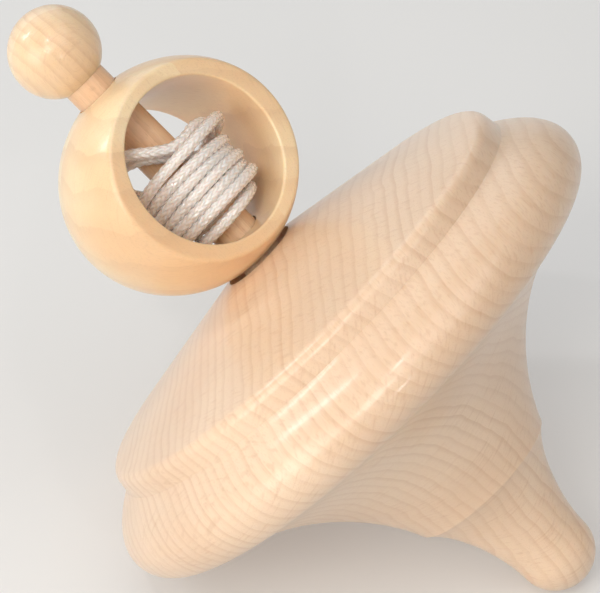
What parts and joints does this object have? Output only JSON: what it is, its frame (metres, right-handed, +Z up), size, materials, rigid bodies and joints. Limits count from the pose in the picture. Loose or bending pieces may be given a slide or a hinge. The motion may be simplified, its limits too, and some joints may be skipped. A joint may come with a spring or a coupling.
{
  "type": "pull-cord spinning top",
  "caption": "Wooden spinning top lying on its side: a turned disc with a cone and a rounded tip, and a stem through a loose grip ring that holds a wound pull cord, with a ball at its end.",
  "frame": {"origin": "middle of the box of the wooden pieces, on the surface that the top lies on", "axes": "+Z up; the spin axis lies in the XZ plane, with the tip towards +X and the ball up towards -X"},
  "size_m": [0.1088, 0.1048, 0.0955],
  "materials": {
    "beech": "satin lacquer over straight-grained beech",
    "beech_dowel": "satin lacquer over beech dowel",
    "pale_maple": "satin lacquer over pale yellow wood",
    "white_cord": "shiny braided synthetic cord"
  },
  "bodies": {
    "spinner": {"top_body": "beech", "stem": "beech_dowel", "ball_knob": "pale_maple"},
    "wound_cord": {"cord_winding": "white_cord", "cord_inner_turn": "white_cord", "cord_middle_turn": "white_cord", "cord_outer_turn": "white_cord"},
    "grip": {"grip_ring": "pale_maple"}
  },
  "joints": [
    {"name": "ring_slide", "type": "slide", "parent": "spinner", "child": "wound_cord", "axis": [-0.7588, 0, 0.6513], "range_m": [0, 0.0032]},
    {"name": "ring_turn", "type": "hinge", "parent": "wound_cord", "child": "grip", "pos_m": [-0.02387, 0, 0.06822], "axis": [-0.7588, 0, 0.6513], "continuous": true}
  ]
}
